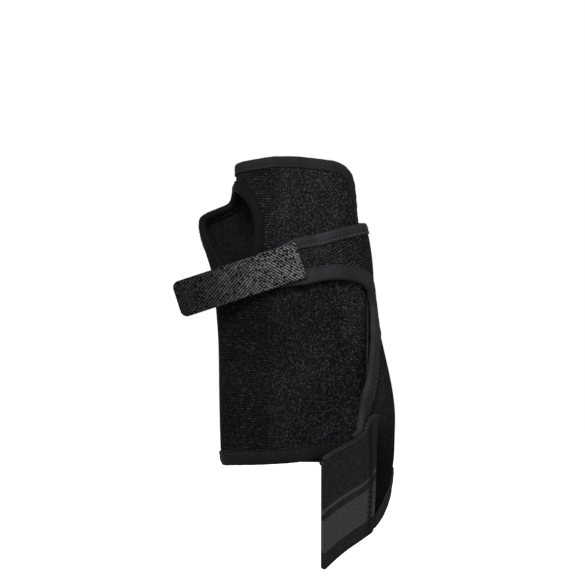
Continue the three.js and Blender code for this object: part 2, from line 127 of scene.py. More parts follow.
THUMB_HOLE = table("angle height", [
    (149.1, 0.626),
    (158.8, 0.641),
    (165.7, 0.689),
    (171.6, 0.745),
    (180.2, 0.791),
    (190.9, 0.823),
    (197.3, 0.853),
    (191.9, 0.884),
    (179.1, 0.899),
    (165.2, 0.891),
    (152.4, 0.873),
    (142.2, 0.840),
    (136.8, 0.797),
    (134.7, 0.745),
    (136.8, 0.689),
    (141.7, 0.649),
])
NARROW_TOP = table("angle height", [
    (-56, 0.7865),
    (-20, 0.7785),
    (3, 0.7705),
    (21.5, 0.7655),
    (37.5, 0.7555),
    (53, 0.7435),
    (83.5, 0.7285),
    (117.5, 0.6905),
    (132, 0.6805),
])
NARROW_BOTTOM = table("angle height", [
    (CROTCH, CROTCH_HEIGHT / BODY_HEIGHT),
    (12.5, 0.551),
    (16, 0.577),
    (21, 0.594),
    (28, 0.603),
    (41, 0.608),
    (75, 0.591),
    (112, 0.583),
    (132, 0.583),
])
DRAPE = table("along top_side top_front top_drop low_side low_front low_drop", [
    (0, 0, 0, 0, 0, 0, 0),
    (0.068, 0.005, 0.042, 0.094, -0.024, 0.042, 0.070),
    (0.142, 0.005, 0.092, 0.199, -0.050, 0.085, 0.138),
    (0.210, -0.009, 0.155, 0.299, -0.085, 0.120, 0.188),
    (0.330, -0.056, 0.261, 0.492, -0.145, 0.162, 0.260),
    (0.415, -0.131, 0.338, 0.621, -0.205, 0.194, 0.305),
    (0.490, -0.174, 0.408, 0.744, -0.255, 0.215, 0.335),
    (0.547, -0.205, 0.465, 0.843, -0.302, 0.232, 0.352),
    (0.774, -0.458, 0.732, 0.922, -0.630, 0.479, 0.450),
    (1, -0.707, 1, 1, -0.962, 0.732, 0.600),
])

LAYER_PITCH = TAPE_GAP + TAPE_WALL
LAP_LIFT = PAD_WALL + 2 * CLEARANCE
OVER_TAPE_LIFT = PAD_WALL + 2 * LAYER_PITCH + 2 * CLEARANCE
MM_PER_DEGREE = np.radians(WRIST_WIDTH / 2)
LOOSE_TOP = 0.58 * BODY_HEIGHT - SEAT_HEIGHT
LOOSE_FULL = 0.145 * BODY_HEIGHT - SEAT_HEIGHT
CROTCH_Z = CROTCH_HEIGHT - SEAT_HEIGHT


def column(rows, key, name, x):
    """The value of a table's column at x, on a cubic that doesn't overshoot its rows."""
    xs, ys = rows[key], rows[name]
    width = np.diff(xs)
    slope = np.diff(ys) / width
    product = slope[:-1] * slope[1:]
    total = slope[:-1] + slope[1:]
    tangent = np.concatenate([slope[:1], np.zeros(len(total)), slope[-1:]])
    bends = product > 0
    tangent[1:-1][bends] = 2 * product[bends] / total[bends]
    x = np.clip(x, xs[0], xs[-1])
    i = np.clip(np.searchsorted(xs, x, side="right") - 1, 0, len(xs) - 2)
    t = (x - xs[i]) / width[i]
    rise = t * t * (3 - 2 * t)
    bend = t * (1 - t) ** 2 * tangent[i] - t * t * (1 - t) * tangent[i + 1]
    return ys[i] * (1 - rise) + ys[i + 1] * rise + width[i] * bend


def height_of(share):
    return share * BODY_HEIGHT - SEAT_HEIGHT


def lerp(a, b, t):
    return a + (b - a) * t


def smooth(x, low, high):
    t = np.clip((x - low) / (high - low), 0, 1)
    return t * t * (3 - 2 * t)


def grid(columns, rows):
    return np.meshgrid(columns, rows, indexing="ij")


def unit(v):
    return v / np.maximum(np.linalg.norm(v, axis=-1, keepdims=True), 1e-12)


def times(v, factor):
    return v * np.asarray(factor, float)[..., None]


def hollow(angle, z):
    """Points on the hollow's wall, whose sections are rounded boxes."""
    angle, z = np.broadcast_arrays(np.asarray(angle, float), np.asarray(z, float))
    share = np.clip((z + SEAT_HEIGHT) / BODY_HEIGHT, 0, 1)
    c, s = np.cos(np.radians(angle)), np.sin(np.radians(angle))
    little, thumb, palm, back = (
        column(SECTIONS, "height", name, share) for name in ("little", "thumb", "palm", "back"))
    side = WRIST_WIDTH * np.where(c > 0, little, thumb)
    depth = WRIST_DEPTH * np.where(s > 0, palm, back)
    radius = (np.abs(c / side) ** SQUARENESS + np.abs(s / depth) ** SQUARENESS) ** (-1 / SQUARENESS)
    return np.stack([radius * c, -radius * s, z], -1)


def hollow_normal(angle, z):
    step = 0.5
    angle, z = np.asarray(angle, float), np.asarray(z, float)
    around = hollow(angle + step, z) - hollow(angle - step, z)
    up = hollow(angle, z + step) - hollow(angle, z - step)
    return unit(np.cross(up, around))


def lifted(angle, z, lift):
    return hollow(angle, z) + times(hollow_normal(angle, z), lift)


def corner_cut(distance, radius):
    """How far a rounded corner cuts in at a distance from the edge beside it."""
    inner = np.clip(radius - distance, 0, radius)
    return radius - np.sqrt(radius ** 2 - inner ** 2)


# The padded panel
def pad_height(angle, edge):
    cut = corner_cut((angle - INNER_END) * MM_PER_DEGREE, END_CORNER)
    height = height_of(column(PAD_EDGES, "angle", edge, angle))
    return height - cut if edge == "top" else height + cut


def soft_dents(angle, z):
    """Low swells and dents of worn foam cloth, up to a fifth of a millimetre."""
    a = np.radians(angle)
    long_swell = 0.11 * np.sin(3 * a + z / 23) * np.sin(z / 31 + 1.3)
    slanted_swell = 0.06 * np.sin(7 * a - z / 17 + 0.7)
    short_dents = 0.05 * np.sin(z / 9 + 4 * a)
    return long_swell + slanted_swell + short_dents


def pad_point(angle, row):
    z = lerp(pad_height(angle, "bottom"), pad_height(angle, "top"), row)
    return lifted(angle, z, PAD_WALL / 2 + soft_dents(angle, z))


def rim_spots(count):
    """The thumb hole's rim as angles and heights, on a closed curve through its table."""
    knots = np.stack([THUMB_HOLE["angle"], height_of(THUMB_HOLE["height"])], -1)
    at = np.arange(count) / count * len(knots)
    i = at.astype(int)
    t = (at - i)[:, None]
    p0, p1, p2, p3 = (knots[(i + k) % len(knots)] for k in (-1, 0, 1, 2))
    cubic = 3 * (p1 - p2) + p3 - p0
    return p1 + 0.5 * t * (p2 - p0 + t * (2 * p0 - 5 * p1 + 4 * p2 - p3 + t * cubic))


def inside_rim(angle, z, rim):
    """Whether each angle and height lies inside the rim's loop."""
    inside = np.zeros(np.shape(angle), bool)
    for (a0, z0), (a1, z1) in zip(rim, np.roll(rim, -1, axis=0)):
        crosses = (z0 > z) != (z1 > z)
        at = a0 + (z - z0) / np.where(z1 == z0, 1, z1 - z0) * (a1 - a0)
        inside ^= crosses & (angle < at)
    return inside


# The elastic panel
def elastic_point(angle, z):
    rise = smooth(angle, OUTER_END - 360, RISE_END)
    loose = smooth(angle, OUTER_END - 360, 0) * (1 - smooth(z, LOOSE_FULL, LOOSE_TOP))
    return lifted(angle, z, lerp(LAP_LIFT, OVER_TAPE_LIFT, rise) + ELASTIC_WALL / 2 + LOOSENESS * loose)


def root_point(share, row):
    """The root: rows run from -1 at the bottom edge over 0 at the crotch to 1 at the top edge."""
    share, row = np.broadcast_arrays(np.asarray(share, float), np.asarray(row, float))
    angle = lerp(LAP, CROTCH + CROTCH_SLANT * np.minimum(row, 0), share)
    bottom = -SEAT_HEIGHT - HEM_SAG * smooth(angle, OUTER_END - 360, CROTCH)
    top = height_of(column(NARROW_TOP, "angle", "height", angle))
    z = np.where(row < 0, lerp(CROTCH_Z, bottom, -row), lerp(CROTCH_Z, top, row))
    return elastic_point(angle, z)


def narrow_point(angle, row):
    low = height_of(column(NARROW_BOTTOM, "angle", "height", angle))
    high = height_of(column(NARROW_TOP, "angle", "height", angle))
    return elastic_point(angle, lerp(low, high, row))


def flap_point(along, across):
    """The wide strap: along its length, and across it from 0 at the bottom edge to 1 at the top."""
    along, across = np.broadcast_arrays(np.asarray(along, float), np.asarray(across, float))

    def moved(edge):
        return np.stack([
            FLAP_SWING * column(DRAPE, "along", edge + "_side", along),
            -FLAP_REACH * column(DRAPE, "along", edge + "_front", along),
            -FLAP_DROP * column(DRAPE, "along", edge + "_drop", along)], -1)

    bottom, top = root_point(1, -1), root_point(1, 0)
    held = np.clip(across, 0, 1)
    bulge = root_point(1, held - 1) - (bottom + times(top - bottom, held))
    edge_low, edge_top = bottom + moved("low"), top + moved("top")
    return (edge_low + times(1, across) * (edge_top - edge_low)
            + bulge * times(1, 1 - smooth(along, 0, TAB_ROOT_LOW)))


# The hook tabs
def pull_point(run, offset):
    slope = np.radians(PULL_SLOPE)
    x = PULL_START - run * np.cos(slope) - offset * np.sin(slope)
    z = PULL_HEIGHT - SEAT_HEIGHT - run * np.sin(slope) + offset * np.cos(slope)
    held = np.maximum(x, PULL_LEAVE)
    free = held - x
    share = np.clip((z + free * np.tan(slope) + SEAT_HEIGHT) / BODY_HEIGHT, 0, 1)
    side = WRIST_WIDTH * np.where(
        held > 0, column(SECTIONS, "height", "little", share), column(SECTIONS, "height", "thumb", share))
    depth = WRIST_DEPTH * column(SECTIONS, "height", "palm", share)
    lift = OVER_TAPE_LIFT + ELASTIC_WALL + LAYER_PITCH + 2 * CLEARANCE + HOOK_WALL / 2
    front = -depth * (1 - np.abs(held / side) ** SQUARENESS) ** (1 / SQUARENESS) - lift
    return np.stack([x, front + PULL_FALL * (free / PULL_LENGTH) ** 2, z], -1)


FLAP_TAB_LENGTH = np.linalg.norm(flap_point(1, 0) - flap_point(TAB_ROOT_LOW, 0))


def flap_tab_point(share, row, settle=0.0):
    """The wide strap's tab, on the outside of the strap's end: share runs from its root to its free edge."""
    share, row = np.broadcast_arrays(np.asarray(share, float), np.asarray(row, float))
    step = 0.01
    along = lerp(lerp(TAB_ROOT_LOW, TAB_ROOT_TOP, row), 1, share)
    to_end = np.minimum(share, 1 - share) * FLAP_TAB_LENGTH
    width = np.linalg.norm(flap_point(along, 1) - flap_point(along, 0), axis=-1)
    cut = corner_cut(to_end, TAB_CORNER) / width
    rise = (along - TAB_ROOT_TOP) / (TAB_ROOT_LOW - TAB_ROOT_TOP)
    across = lerp(cut, 1 - cut, row) * np.minimum(lerp(TAB_ROOT_ACROSS, 1, rise), 1)
    down = flap_point(along, across - step) - flap_point(along, across + step)
    on = flap_point(np.minimum(along + step, 1), across) - flap_point(along - step, across)
    lift = ELASTIC_WALL / 2 + LAYER_PITCH + 2 * CLEARANCE + HOOK_WALL / 2
    lift = lift * (1 - smooth(along, FLAP_CLOTH_END + 2 * step, 1)) + settle
    return flap_point(along, across) + times(unit(np.cross(on, down)), lift)


class Surface:
    """The middle of a sheet made of patches, which join where their points are the same.

    A patch is an array of columns of points from bottom to top, with the flat place of each point.
    """

    def __init__(self, patches, dropped=None):
        points = np.concatenate([p.reshape(-1, 3) for p, _ in patches])
        flat = np.concatenate([f.reshape(-1, 2) for _, f in patches])
        quads, start = [], 0
        for p, _ in patches:
            spots = start + np.arange(p.shape[0] * p.shape[1]).reshape(p.shape[:2])
            corners = (spots[:-1, :-1], spots[:-1, 1:], spots[1:, 1:], spots[1:, :-1])
            quads.append(np.stack(corners, -1).reshape(-1, 4))
            start += spots.size
        quads = np.concatenate(quads)
        if dropped is not None:
            quads = quads[~dropped[quads].any(axis=1)]
        _, first, joined = np.unique(np.round(points * 1e3), axis=0, return_index=True, return_inverse=True)
        quads = joined.ravel()[quads]
        used, quads = np.unique(quads, return_inverse=True)
        self.quads = quads.reshape(-1, 4)
        self.points, self.flat = points[first][used], flat[first][used]
        a, b, c, d = (self.points[self.quads[:, k]] for k in range(4))
        face = np.cross(c - a, d - b)
        self.normals = np.zeros_like(self.points)
        for k in range(4):
            np.add.at(self.normals, self.quads[:, k], face)
        self.normals = unit(self.normals)
        self.area = np.linalg.norm(face, axis=1).sum() / 2
        self.tree = BVHTree.FromPolygons(self.points.tolist(), self.quads.tolist())

    def near(self, places):
        """The nearest points of the surface to some places, with its smooth normals there."""
        shape = places.shape
        points, normals = [], []
        for place in places.reshape(-1, 3):
            spot, _, face, _ = self.tree.find_nearest(Vector(place))
            corners = self.quads[face]
            gap = np.linalg.norm(self.points[corners] - np.array(spot), axis=1)
            weight = 1 / (gap + 1e-3)
            points.append(spot)
            normals.append((self.normals[corners] * weight[:, None]).sum(axis=0))
        return np.array(points).reshape(shape), unit(np.array(normals)).reshape(shape)


def facing_out(points, faces):
    """The faces of a closed mesh, turned round if they face in."""
    volume = 0.0
    for face in faces:
        a, b, c = points[face[0]], points[face[1]], points[face[-1]]
        volume += np.dot(a, np.cross(b, c))
        if len(face) == 4:
            volume += np.dot(b, np.cross(points[face[2]], c))
    return faces if volume > 0 else [tuple(reversed(face)) for face in faces]


def placed(name, data):
    made = bpy.data.objects.new(name, data)
    bpy.context.scene.collection.objects.link(made)
    return made


def new_piece(name, points, faces, flat, material, nodes=()):
    """A piece made of points in millimetres, riding on the wrap and standing for CAD nodes."""
    mesh = bpy.data.meshes.new(name)
    faces = facing_out(points, faces)
    mesh.from_pydata((np.asarray(points) * MM).tolist(), [], [list(map(int, f)) for f in faces])
    mesh.update()
    if flat is not None:
        layer = mesh.uv_layers.new(name="flat_mm")
        corners = np.zeros(len(mesh.loops), int)
        mesh.loops.foreach_get("vertex_index", corners)
        layer.data.foreach_set("uv", np.asarray(flat, float)[corners].ravel())
    mesh.shade_smooth()
    mesh.materials.append(material)
    piece = placed(name, mesh)
    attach(piece, "root")
    if nodes:
        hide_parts(*nodes)
    return piece


def sheet_piece(name, surface, wall, material, lining, nodes):
    """A sheet of the given wall on both sides of its surface, with its edges closed and its own lining."""
    count = len(surface.points)
    half = surface.normals * wall / 2
    quads = surface.quads
    sides = np.concatenate([quads[:, [k, (k + 1) % 4]] for k in range(4)])
    known = set(map(tuple, sides.tolist()))
    rims = [(a, b) for a, b in known if (b, a) not in known]
    walls = [(b, a, a + count, b + count) for a, b in sorted(rims)]
    faces = quads.tolist() + (quads[:, ::-1] + count).tolist() + walls
    points = np.concatenate([surface.points + half, surface.points - half])
    piece = new_piece(name, points, faces, np.tile(surface.flat, (2, 1)), material, nodes)
    piece.data.materials.append(lining)
    sides = np.zeros(len(faces), int)
    sides[len(quads):2 * len(quads)] = 1
    piece.data.polygons.foreach_set("material_index", sides)
    return piece


def spaced(line, step, closed=False):
    """A line's points again at even steps."""
    if closed:
        line = np.concatenate([line, line[:1]])
    length = np.concatenate([[0], np.cumsum(np.linalg.norm(np.diff(line, axis=0), axis=1))])
    count = max(int(round(length[-1] / step)), 2)
    at = np.linspace(0, length[-1], count + 1)
    if closed:
        at = at[:-1]
    return np.stack([np.interp(at, length, line[:, k]) for k in range(3)], -1)


# A folded tape's outline over one leg: how far in from the cloth's edge, and how high above the cloth. It
# has a thin rolled lip, then the line that its stitches press down. Its nose is flatter than a half circle.
# What stands above the pressed line puckers, in waves of a height, a length and a phase, and by chance.
TAPE_LEG = table("inward above", [
    (6.0, 0.25),
    (5.95, 0.70),
    (5.7, 0.98),
    (5.4, 0.98),
    (5.1, 0.72),
    (4.6, 0.58),
    (4.1, 0.72),
    (3.4, 1.02),
    (2.4, 1.16),
    (1.2, 1.18),
    (0.0, 1.10),
])
TAPE_NOSE = np.radians([30, 60, 90, 120, 150])
NOSE_SHARE = 0.62
TAPE_STEP = 1.3
TAPE_DEPTH = 0.25
TAPE_FLAT_WIDTH = 30
PUCKERED_ABOVE = 0.8
PUCKER_WAVES = ((0.05, 1.1, 0), (0.06, 4.3, 1))
PUCKER_CHANCE = 0.05
STITCH_LINE = 4.6


def tape_frame(surface, edge, closed):
    """A sheet's points nearest an edge, its normals there, and the directions into the cloth."""
    if closed:
        along = np.roll(edge, -1, axis=0) - np.roll(edge, 1, axis=0)
    else:
        along = np.gradient(edge, axis=0)
    rim, normal = surface.near(edge)
    return rim, normal, unit(np.cross(normal, unit(along)))


def plain_reach(z):
    return np.ones_like(z)


def folded_tape(name, surface, wall, edge, material, nodes, closed=False, reach=plain_reach):
    """Tape folded over an edge: a soft U round the cloth, with a rolled nose and a pressed stitch line.

    Its legs reach in as the table says, times the reach at each height.
    """
    edge = spaced(edge, TAPE_STEP, closed)
    rim, normal, inward = tape_frame(surface, edge, closed)
    run = np.arange(len(edge)) * TAPE_STEP
    pucker = sum(height * np.sin(run / length + phase) for height, length, phase in PUCKER_WAVES)
    pucker += PUCKER_CHANCE * rng.standard_normal(len(run))
    legs = [surface.near(rim + times(inward, d * reach(edge[:, 2]))) for d in TAPE_LEG["inward"]]

    def leg(side, depth):
        return np.stack([p + side * n * (wall / 2 + h - depth + pucker * (h > PUCKERED_ABOVE))[:, None]
                         for (p, n), h in zip(legs, TAPE_LEG["above"])], 1)

    def shell(depth):
        radius = (wall / 2 + TAPE_LEG["above"][-1] - depth + pucker)[:, None]
        nose = np.stack([rim + normal * np.cos(a) * radius - inward * np.sin(a) * radius * NOSE_SHARE
                         for a in TAPE_NOSE], 1)
        return np.concatenate([leg(1, depth), nose, leg(-1, depth)[:, ::-1]], 1)

    ring = np.concatenate([shell(0.0), shell(TAPE_DEPTH)[:, ::-1]], 1)
    count, size = ring.shape[:2]
    turns = count if closed else count - 1
    faces = []
    for i in range(turns):
        here, after = i * size, ((i + 1) % count) * size
        faces += [(here + j, here + (j + 1) % size, after + (j + 1) % size, after + j) for j in range(size)]
    if not closed:
        last = (count - 1) * size
        for j in range(size // 2 - 1):
            k = size - 1 - j
            faces.append((j, k, k - 1, j + 1))
            faces.append((last + j, last + j + 1, last + k - 1, last + k))
    across = np.tile(np.linspace(0, TAPE_FLAT_WIDTH, size), count)
    flat = np.stack([np.repeat(run, size), across], -1)
    return new_piece(name, ring.reshape(-1, 3), faces, flat, material, nodes)


THREAD_TAPER = 0.35


def threads(name, runs, radius, material, sides=6):
    """Threads along polylines, each an equal number of points, tapered where they dip into the cloth."""
    runs = np.asarray(runs)
    along = unit(np.gradient(runs, axis=1))
    guide = np.where(np.abs(along[..., 2:]) < 0.9, [0.0, 0.0, 1.0], [1.0, 0.0, 0.0])
    right = unit(np.cross(along, guide))
    up = np.cross(right, along)
    count, points = runs.shape[:2]
    taper = np.ones(points)
    taper[[0, -1]] = THREAD_TAPER
    turn = np.linspace(0, 2 * np.pi, sides, endpoint=False)[:, None]
    spokes = right[:, :, None] * np.cos(turn) + up[:, :, None] * np.sin(turn)
    ring = runs[:, :, None] + radius * taper[None, :, None, None] * spokes
    faces = []
    for n in range(count):
        start = n * points * sides
        for i in range(points - 1):
            a, b = start + i * sides, start + (i + 1) * sides
            faces += [(a + j, a + (j + 1) % sides, b + (j + 1) % sides, b + j) for j in range(sides)]
        end = start + (points - 1) * sides
        faces.append(tuple(start + j for j in reversed(range(sides))))
        faces.append(tuple(end + j for j in range(sides)))
    return new_piece(name, ring.reshape(-1, 3), faces, None, material)


# Stitches are laid out in short steps, and their length and pitch are counts of steps
STITCH_STEP = 0.5
STITCH_LENGTH = 4
STITCH_PITCH = 6
STITCH_RADIUS = 0.32
STITCH_ABOVE = 0.66
STITCH_ARCH = np.array([-0.25, 0.12, 0.25, 0.12, -0.25])


def stitches(name, surface, wall, edge, material, closed=False, reach=plain_reach):
    """Lock stitches along a tape's pressed line, on both faces."""
    line = spaced(edge, STITCH_STEP, closed)
    rim, _, inward = tape_frame(surface, line, closed)
    spots, normals = surface.near(rim + times(inward, STITCH_LINE * reach(line[:, 2])))
    starts = np.arange(STITCH_LENGTH // 2, len(spots) - 2 * STITCH_LENGTH, STITCH_PITCH)
    index = starts[:, None] + np.arange(STITCH_LENGTH + 1)[None]
    height = wall / 2 + STITCH_ABOVE + STITCH_ARCH[None, :, None]
    runs = [spots[index] + side * normals[index] * height for side in (1, -1)]
    return threads(name, np.concatenate(runs), STITCH_RADIUS, material)


# Materials. Every pattern is measured in millimetres on the flat cloth, and its slant in degrees from the
# strap's length. The tab's printed bands are measured across it from its low edge.
CURL_SIZE = 0.78
BRUSHED_PITCH = 1.5
BRUSHED_START = (72, 92)
TAPE_LINE_PITCH = 0.55
RIB_SLANT = 28
RIB_PITCH = 1.5
PULL_THREADS = ((-48, 1.45), (32, 1.55))
PULL_PIT_PITCH = 2.3
TAB_SLANT = 40
TAB_PITCH = 1.25
TAB_BANDS = ((11, 33), (37, 40))
BAND_EDGE = 0.5
LINING_PITCH = 0.9
HOOK_PITCH = 1.6

# Heights on the wrap between which painted light and shade change the tones, in metres
TOP_HEIGHTS = (0.03, 0.09)
BOTTOM_HEIGHTS = (-0.085, -0.035)
END_RISE = (-0.055, -0.03)
END_FALL = (0.0, 0.03)


def link(tree, output, node, socket):
    tree.links.new(output, node.inputs[socket])


def node(tree, kind, inputs=None, **settings):
    made = tree.nodes.new(kind)
    for name, value in settings.items():
        setattr(made, name, value)
    for name, value in (inputs or {}).items():
        if isinstance(value, bpy.types.NodeSocket):
            link(tree, value, made, name)
        else:
            made.inputs[name].default_value = value
    return made


def maths(tree, operation, first, second=0.0, third=0.0):
    made = node(tree, "ShaderNodeMath", {0: first, 1: second, 2: third}, operation=operation)
    return made.outputs[0]


def product(tree, first, second):
    return maths(tree, "MULTIPLY", first, second)


def flat_place(tree):
    return node(tree, "ShaderNodeUVMap", uv_map="flat_mm").outputs["UV"]


def axis(tree, place, name):
    return node(tree, "ShaderNodeSeparateXYZ", {0: place}).outputs[name]


def turned(tree, place, angle):
    return node(tree, "ShaderNodeVectorRotate", {"Vector": place, "Angle": np.radians(angle)},
                rotation_type="Z_AXIS").outputs[0]


def wave(tree, across, period):
    """A wave from 0 to 1 along a coordinate."""
    swing = maths(tree, "SINE", product(tree, across, 2 * np.pi / period))
    return maths(tree, "MULTIPLY_ADD", swing, 0.5, 0.5)


def ribs(tree, place, angle, period):
    """A wave across the flat cloth, its ribs at an angle to the strap's length."""
    return wave(tree, axis(tree, turned(tree, place, angle), "Y"), period)


def noise(tree, place, size, detail=2.0, rough=0.5):
    """Noise whose features are about size millimetres."""
    return node(tree, "ShaderNodeTexNoise",
                {"Vector": place, "Scale": 1 / size, "Detail": detail, "Roughness": rough},
                noise_dimensions="2D").outputs["Fac"]


def cells(tree, place, size):
    """Cells about size millimetres across: the distance from each one's middle, and its random number."""
    made = node(tree, "ShaderNodeTexVoronoi", {"Vector": place, "Scale": 1 / size}, voronoi_dimensions="2D")
    number = node(tree, "ShaderNodeSeparateColor", {0: made.outputs["Color"]}).outputs[0]
    return made.outputs["Distance"], number


def stretched(tree, place, along, across):
    """The flat place with its two directions drawn out."""
    return node(tree, "ShaderNodeVectorMath", {0: place, 1: (1 / along, 1 / across, 1)},
                operation="MULTIPLY").outputs[0]


def shares(tree, value, low, high, first=0.0, last=1.0):
    """A value's range from low to high as one from first to last."""
    return node(tree, "ShaderNodeMapRange", {0: value, 1: low, 2: high, 3: first, 4: last},
                interpolation_type="SMOOTHSTEP").outputs[0]


def ramp(tree, value, stops):
    """A colour ramp with grey or coloured stops, as (position, colour)."""
    made = node(tree, "ShaderNodeValToRGB", {"Fac": value})
    bar = made.color_ramp
    while len(bar.elements) < len(stops):
        bar.elements.new(0.5)
    for element, (at, colour) in zip(bar.elements, stops):
        element.position = at
        element.color = (*((colour,) * 3 if np.isscalar(colour) else colour), 1)
    return made.outputs["Color"]


def mixed(tree, factor, first, second, blend="MIX"):
    made = node(tree, "ShaderNodeMix", {0: factor, 6: first, 7: second}, data_type="RGBA", blend_type=blend)
    return made.outputs[2]


def tinted(tree, base, place, low, high, size=34.0):
    """Slow changes of tone over the cloth, from near black to a faint cold blue."""
    dark = (low, low, low * 0.97)
    blue = (high * 0.96, high * 0.97, high * 1.14)
    tint = ramp(tree, noise(tree, place, size, 2.0), [(0.32, dark), (0.68, blue)])
    return mixed(tree, 1.0, base, tint, "MULTIPLY")


def scaled(tree, base, share):
    """A colour made lighter or darker by a share that varies over the cloth."""
    grey = node(tree, "ShaderNodeCombineColor", {0: share, 1: share, 2: share}).outputs[0]
    return mixed(tree, 1.0, base, grey, "MULTIPLY")


def graded(tree, base, heights, first, last):
    """A colour scaled by first below two heights on the wrap, by last above them, and smoothly between."""
    place = node(tree, "ShaderNodeTexCoord").outputs["Object"]
    return scaled(tree, base, shares(tree, axis(tree, place, "Z"), *heights, first, last))


def shaded(name, values):
    """A new material with values on its shader's sockets."""
    material = bpy.data.materials.new(name)
    material.use_nodes = True
    shader = material.node_tree.nodes["Principled BSDF"]
    for socket, value in values.items():
        shader.inputs[socket].default_value = value
    return material, material.node_tree, shader


def cloth(name, roughness, sheen=0.003, gloss=0.02):
    return shaded(name, {"Roughness": roughness, "Sheen Weight": sheen, "Sheen Roughness": 0.5,
                         "Specular IOR Level": gloss})


def dressed(tree, shader, base, layers):
    """A cloth's colour and its stacked bumps, as (height, distance in millimetres, strength)."""
    link(tree, base, shader, "Base Color")
    normal = None
    for height, distance, strength in layers:
        inputs = {"Height": height, "Distance": distance * MM, "Strength": strength}
        if normal is not None:
            inputs["Normal"] = normal
        normal = node(tree, "ShaderNodeBump", inputs).outputs["Normal"]
    link(tree, normal, shader, "Normal")


def loop_cloth():
    """Black loop pile: curls with a few bright tips and dark gaps, brushed into rows beside the thumb hole.

    Painted light makes it lighter towards the wrap's top, where light from above falls, and towards the lower
    part of the panel's inner end, over the shade there.
    """
    material, tree, shader = cloth("loop_cloth", 0.95)
    place = flat_place(tree)
    along, up = axis(tree, place, "X"), axis(tree, place, "Y")
    gap, number = cells(tree, place, CURL_SIZE)
    curl = ramp(tree, number, [(0.0, 0.0035), (0.4, 0.0075), (0.8, 0.015), (1.0, 0.040)])
    curl = mixed(tree, 1.0, curl, ramp(tree, gap, [(0.15, 1.2), (0.62, 0.45)]), "MULTIPLY")
    # The brushed rows are darker than the curls: partly the pile's own tone, partly painted shade on the
    # wrap's thumb side
    row_number = cells(tree, stretched(tree, place, 1.5, 1.0), 0.9)[1]
    row = ramp(tree, row_number, [(0.0, 0.002), (0.5, 0.004), (0.85, 0.0075), (1.0, 0.020)])
    wander = product(tree, noise(tree, place, 12, 2.0), 1.6)
    rows = wave(tree, maths(tree, "ADD", up, wander), BRUSHED_PITCH)
    row = mixed(tree, 1.0, row, ramp(tree, rows, [(0.15, 0.35), (0.85, 1.45)]), "MULTIPLY")
    brushed = product(tree, shares(tree, along, *BRUSHED_START), 0.8)
    base = tinted(tree, mixed(tree, brushed, curl, row), place, 0.8, 1.15)
    # Painted light: paler near the lower part of the panel's inner end, over its shade, and towards the
    # wrap's top
    near_end = shares(tree, along, 4, 36, 1.8, 0.0)
    low_end = product(tree, near_end, shares(tree, up, 110, 150, 1.0, 0.15))
    painted_light_share = product(tree, shares(tree, up, 95, 165, 0.82, 1.2), maths(tree, "ADD", low_end, 1.0))
    base = scaled(tree, base, painted_light_share)
    tufts = noise(tree, place, 0.9, 3.0, 0.7)
    raised = maths(tree, "SUBTRACT", 1.0, gap)
    ridges = product(tree, rows, brushed)
    dressed(tree, shader, base, [(tufts, 0.4, 0.7), (raised, 0.4, 0.8), (ridges, 0.25, 0.6)])
    return material


def tape_cloth(name, tone, top=1.0, end=1.0):
    """Smooth black knit tape with fine lengthwise lines.

    Painted light scales its tone: by top at the wrap's top, and by end at the heights where the panel's inner
    end shows.
    """
    material, tree, shader = cloth(name, 0.7, 0.006, 0.04)
    place = flat_place(tree)
    lines = ribs(tree, place, 0, TAPE_LINE_PITCH)
    grain = noise(tree, place, 0.6, 3.0, 0.7)
    base = ramp(tree, grain, [(0.3, 0.7 * tone), (0.7, 1.35 * tone)])
    # Painted light: lighter at the wrap's top
    base = graded(tree, tinted(tree, base, place, 0.78, 1.2, 13.0), TOP_HEIGHTS, 1.0, top)
    # Painted light over the shade at the heights where the panel's inner end shows
    if end != 1.0:
        base = graded(tree, base, END_RISE, 1.0, end)
        base = graded(tree, base, END_FALL, 1.0, 1.0 / end)
    swells = noise(tree, place, 7, 2.0)
    dressed(tree, shader, base, [(swells, 0.7, 0.35), (lines, 0.05, 0.5), (grain, 0.1, 0.5)])
    return material


def elastic_cloth():
    """Black elastic with slanted ribs broken into short knitted lengths, with painted shade making it darker
    towards the wrap's bottom.
    """
    material, tree, shader = cloth("elastic", 0.85)
    place = flat_place(tree)
    bent = product(tree, noise(tree, place, 7, 2.0), 1.6)
    moved = node(tree, "ShaderNodeVectorMath", {0: place, 1: bent}, operation="ADD").outputs[0]
    slant = ribs(tree, moved, RIB_SLANT, RIB_PITCH)
    gap, number = cells(tree, stretched(tree, turned(tree, moved, RIB_SLANT), 1.1, 0.9), 0.95)
    knit = maths(tree, "MULTIPLY_ADD", slant, 0.5, product(tree, number, 0.5))
    base = ramp(tree, knit, [(0.12, 0.0045), (0.45, 0.0095), (0.72, 0.0175), (0.97, 0.044)])
    base = mixed(tree, 1.0, base, ramp(tree, gap, [(0.2, 1.1), (0.62, 0.5)]), "MULTIPLY")
    # Painted shade: darker towards the wrap's bottom
    base = graded(tree, tinted(tree, base, place, 0.8, 1.2), BOTTOM_HEIGHTS, 0.36, 1.1)
    raised = maths(tree, "SUBTRACT", 1.0, gap)
    dressed(tree, shader, base, [(slant, 0.35, 0.8), (raised, 0.3, 0.7)])
    return material


